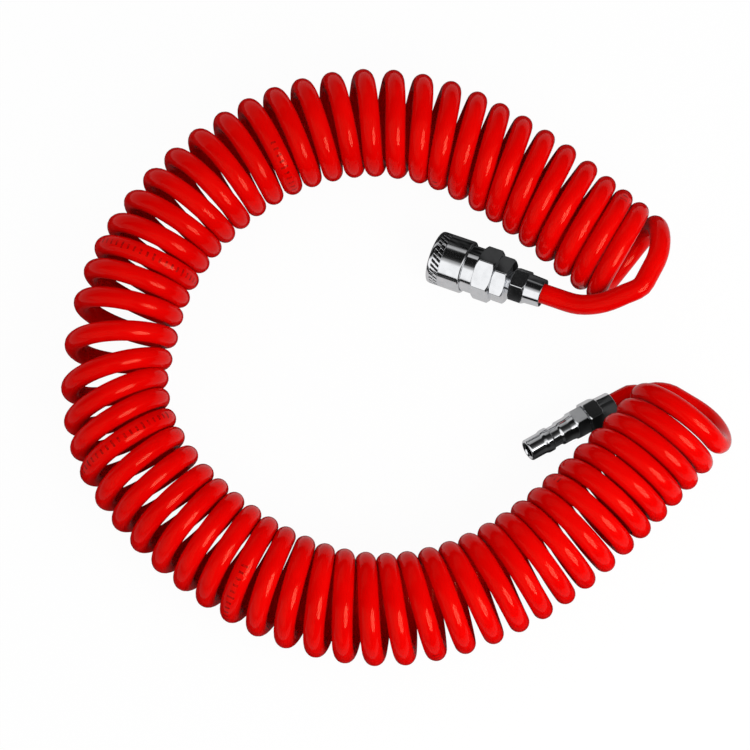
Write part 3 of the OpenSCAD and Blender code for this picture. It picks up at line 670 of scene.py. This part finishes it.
turned_brass, tree, shader = finish("turned_brass", {"Metallic": 1.0})
at = Wire(tree, "VectorMath", {"operation": "DOT_PRODUCT"}, {
    0: Wire(tree, "TexCoord", output="Object"), 1: tuple(socket_way)}, output="Value")
tool_marks = Wire(tree, "TexNoise", {"noise_dimensions": "1D"}, {"W": at * 6000, "Scale": 1.0})
bump = Wire(tree, "Bump", {}, {"Strength": 0.2, "Distance": 0.00004, "Height": tool_marks})
drive(tree, shader, Normal=bump, Roughness=tool_marks.step(0.3, 0.7, 0.2, 0.32),
      Base_Color=tool_marks.step(0.3, 0.7).between((0.75, 0.58, 0.28, 1), (0.62, 0.46, 0.2, 1)))
refinish("valve_poppet", turned_brass)

nitrile, tree, shader = finish("black_nitrile", {"IOR": 1.5})
bloom = Wire(tree, "TexNoise", {}, {
    "Vector": Wire(tree, "TexCoord", output="Object"), "Scale": 700.0, "Detail": 5.0})
bump = Wire(tree, "Bump", {}, {"Strength": 0.15, "Distance": 0.00005, "Height": bloom})
drive(tree, shader, Normal=bump, Roughness=bloom.step(0.3, 0.7, 0.45, 0.65),
      Base_Color=bloom.step(0.3, 0.7).between((0.012, 0.012, 0.012, 1), (0.03, 0.03, 0.03, 1)))
refinish("main_packing", nitrile)
refinish("adapter_oring", nitrile)


# ---- The studio -------------------------------------------------------------------------
# A white floor, one large soft lamp on the near right, and an even sky. Bright metal sees
# bands of white and black card in place of that sky, as in a product studio.
floor_mesh, half = bpy.data.meshes.new("floor"), 3
floor_mesh.from_pydata([(-half, -half, 0), (half, -half, 0), (half, half, 0),
                        (-half, half, 0)], [], [(0, 1, 2, 3)])
floor = bpy.data.objects.new("floor", floor_mesh)
bpy.context.scene.collection.objects.link(floor)
paper = bpy.data.materials.new("floor_paper")
paper.use_nodes = True
tree = paper.node_tree
tree.nodes.clear()
ray = Wire(tree, "LightPath")
shown = ray.math("MAXIMUM", ray.of("Is Camera Ray"), ray.of("Is Transmission Ray"))
white_shown, white_in_metal = 0.96, 0.36
seen = ray.math("MAXIMUM", shown * white_shown, ray.of("Is Glossy Ray") * white_in_metal)
matt = Wire(tree, "BsdfDiffuse", sockets={
    "Color": shown.between((0.30, 0.30, 0.30, 1), (0.9, 0.9, 0.9, 1))})
white = Wire(tree, "Emission", sockets={"Color": (1, 1, 1, 1), "Strength": 1.0})
Wire(tree, "OutputMaterial", sockets={
    "Surface": Wire(tree, "MixShader", sockets={0: seen, 1: matt, 2: white})})
floor_mesh.materials.append(paper)

# Black sheets of painted shade, which only bright surfaces see: they stand in for the hose and
# the floor near it in shade, as the metal reflects them. A roll round the coil and one round
# each tail, which let out what comes from inside them, an apron on the floor along the coil, a
# card beside the socket and one between the plug and the coil
roll_turns, nearby = np.arange(0.5, turns, 1.0), 0.1
roll_axis = axis_plan(roll_turns)
roll_way = unit(
    axis_plan(roll_turns + nearby)[:, :2] - axis_plan(roll_turns - nearby)[:, :2])
roll_out = np.stack([-roll_way[:, 1], roll_way[:, 0], 0 * roll_turns], axis=1)
roll_line = np.column_stack([roll_axis[:, :2], np.full(turns, coil_middle)]) - middle_of_coil
roll_r, roll_sides = 27.2 * MM, 32
shade_sheets = [skin("black_roll", rings_at(
    roll_line, roll_out, np.broadcast_to((0.0, 0.0, 1.0), roll_out.shape), roll_r, roll_sides))]
tail_roll_r, tail_roll_sides = hose_r + 0.4 * MM, 16
rings_in_nut, rings_past_socket_tail, rings_past_plug_tail = 4, 60, 100
for name, first_ring, last_ring in (
        ("black_tail_1", rings_in_nut, on_coil[0] + rings_past_socket_tail),
        ("black_tail_2", on_coil[-1] - rings_past_plug_tail, ring_count - rings_in_nut)):
    span = slice(first_ring, last_ring)
    shade_sheets.append(skin(name, rings_at(
        centres[span], outs[span], asides[span], tail_roll_r, tail_roll_sides)))
apron_in, apron_out, apron_under, apron_top = 38 * MM, 90 * MM, 0.2 * MM, 0.4 * MM
apron_sides = roll_line * level - roll_out * apron_in, roll_line * level + roll_out * apron_out
shade_sheets.append(skin("black_apron", np.stack([
    apron_sides[0] + (0, 0, apron_under), apron_sides[1] + (0, 0, apron_under),
    apron_sides[1] + (0, 0, apron_top), apron_sides[0] + (0, 0, apron_top)], axis=1)))
for name, leaves, heading, aside, near, begins, ends, wide in (
        ("black_card", socket_exit, socket_heading, -90, 9, -10, 300, 500),
        ("black_strip", plug_exit, plug_heading, 90, 2, -20, 70, 60)):
    way = np.array([cos(heading), sin(heading), 0]) * MM
    off = np.array([cos(heading + radians(aside)), sin(heading + radians(aside)), 0]) * MM
    start = (leaves - middle_of_coil) * level + (0, 0, 0.5 * MM)
    mesh = bpy.data.meshes.new(name)
    mesh.from_pydata([tuple(start + way * w + off * o) for w, o in (
        (begins, near), (ends, near), (ends, near + wide), (begins, near + wide))],
        [], [(0, 1, 2, 3)])
    shade_sheets.append(bpy.data.objects.new(name, mesh))
    bpy.context.scene.collection.objects.link(shade_sheets[-1])
# Painted reflected shade: the sheets' fronts glow a dim, mottled grey, as the shaded hose and
# floor would look in the metal, and their backs let everything through
reflected_shade = bpy.data.materials.new("painted_reflected_shade")
reflected_shade.use_nodes = True
tree = reflected_shade.node_tree
tree.nodes.clear()
shade_mottle = Wire(tree, "TexNoise", {}, {
    "Vector": Wire(tree, "TexCoord", output="Object"), "Scale": 55.0, "Detail": 2.0})
Wire(tree, "OutputMaterial", sockets={"Surface": Wire(tree, "MixShader", sockets={
    0: Wire(tree, "NewGeometry").of("Backfacing"),
    1: Wire(tree, "Emission", sockets={"Color": shade_mottle.step(0.38, 0.62).between(
        (0.004, 0.004, 0.004, 1), (0.05, 0.05, 0.05, 1)), "Strength": 1.0}),
    2: Wire(tree, "BsdfTransparent")})})
for shade_sheet in shade_sheets:
    shade_sheet.data.materials.append(reflected_shade)
    shade_sheet.visible_camera = shade_sheet.visible_diffuse = shade_sheet.visible_shadow = False
    shade_sheet.visible_transmission = shade_sheet.visible_volume_scatter = False

# The sky is even, but metal sees two sets of cards there, laid in bands from the near horizon
# (place 0) over the top (0.5) to the far one (1): one set for the far right and near left
# quarters, the other for the far left and near right ones
sky = bpy.data.worlds.new("sky")
bpy.context.scene.world = sky
sky.use_nodes = True
tree = sky.node_tree
tree.nodes.clear()
ray = Wire(tree, "LightPath")
way = Wire(tree, "SeparateXYZ", sockets={0: Wire(tree, "TexCoord", output="Generated")})
over = way.math("ARCTAN2", way.of("Y"), way.of("Z")) / pi + 0.5
across = way * way.of("Y") / (way * way + way.of("Y") * way.of("Y") + 0.0001)
far_right = Wire(tree, "ValToRGB", {"stops": [
    (0.0, 0.09), (0.03, 0.35), (0.07, 0.85), (0.12, 1.0), (0.42, 1.0), (0.47, 0.45),
    (0.52, 0.13), (0.56, 0.1), (0.61, 0.04), (0.66, 0.015), (0.74, 0.01), (0.79, 0.07),
    (0.89, 0.05), (1.0, 0.04)]}, {0: over})
far_left = Wire(tree, "ValToRGB", {"stops": [
    (0.0, 0.02), (0.17, 0.02), (0.25, 0.07), (0.32, 0.3), (0.38, 0.8), (0.44, 0.9),
    (0.5, 0.4), (0.53, 0.05), (0.58, 0.01), (0.70, 0.006), (0.75, 0.02), (0.785, 0.56),
    (0.84, 0.42), (0.89, 0.45), (1.0, 0.4)]}, {0: over})
cards = across.step(-0.2, 0.2).between(far_left, far_right)
even = (0.68, 0.68, 0.68, 1)
lit = ray.of("Is Glossy Ray").between(even, cards)
shown = ray.math("MAXIMUM", ray.of("Is Camera Ray"), ray.of("Is Transmission Ray"))
Wire(tree, "OutputWorld", sockets={"Surface": Wire(tree, "Background", sockets={
    "Color": shown.between(lit, (1, 1, 1, 1)), "Strength": 1.0})})

lamp = bpy.data.objects.new("soft_lamp", bpy.data.lights.new("soft_lamp", "AREA"))
bpy.context.scene.collection.objects.link(lamp)
lamp.data.shape, lamp.data.size, lamp.data.energy = "DISK", 0.55, 3.2
lamp_aim = Vector((0, 0, 0.02))
lamp.location = (0.4, -0.35, 0.5)
lamp.visible_glossy = False
lamp.rotation_euler = (lamp_aim - lamp.location).to_track_quat("-Z", "Y").to_euler()

# Two more disks in the same place give the hose and the plug their glints, and light
# nothing else
for name, watts, lit_pieces in (
        ("hose_glint", 8.0, [hose]),
        ("plug_glint", 1.1, [plug, bpy.data.objects["plug_hose_nut_turned"]])):
    glint = bpy.data.objects.new(name, bpy.data.lights.new(name, "AREA"))
    bpy.context.scene.collection.objects.link(glint)
    glint.data.shape, glint.data.size, glint.data.energy = "DISK", 0.5, watts
    glint.location, glint.rotation_euler = lamp.location * 0.98, lamp.rotation_euler
    glint.visible_diffuse = False
    lit = bpy.data.collections.new(name)
    for piece in lit_pieces:
        lit.objects.link(piece)
    glint.light_linking.receiver_collection = lit
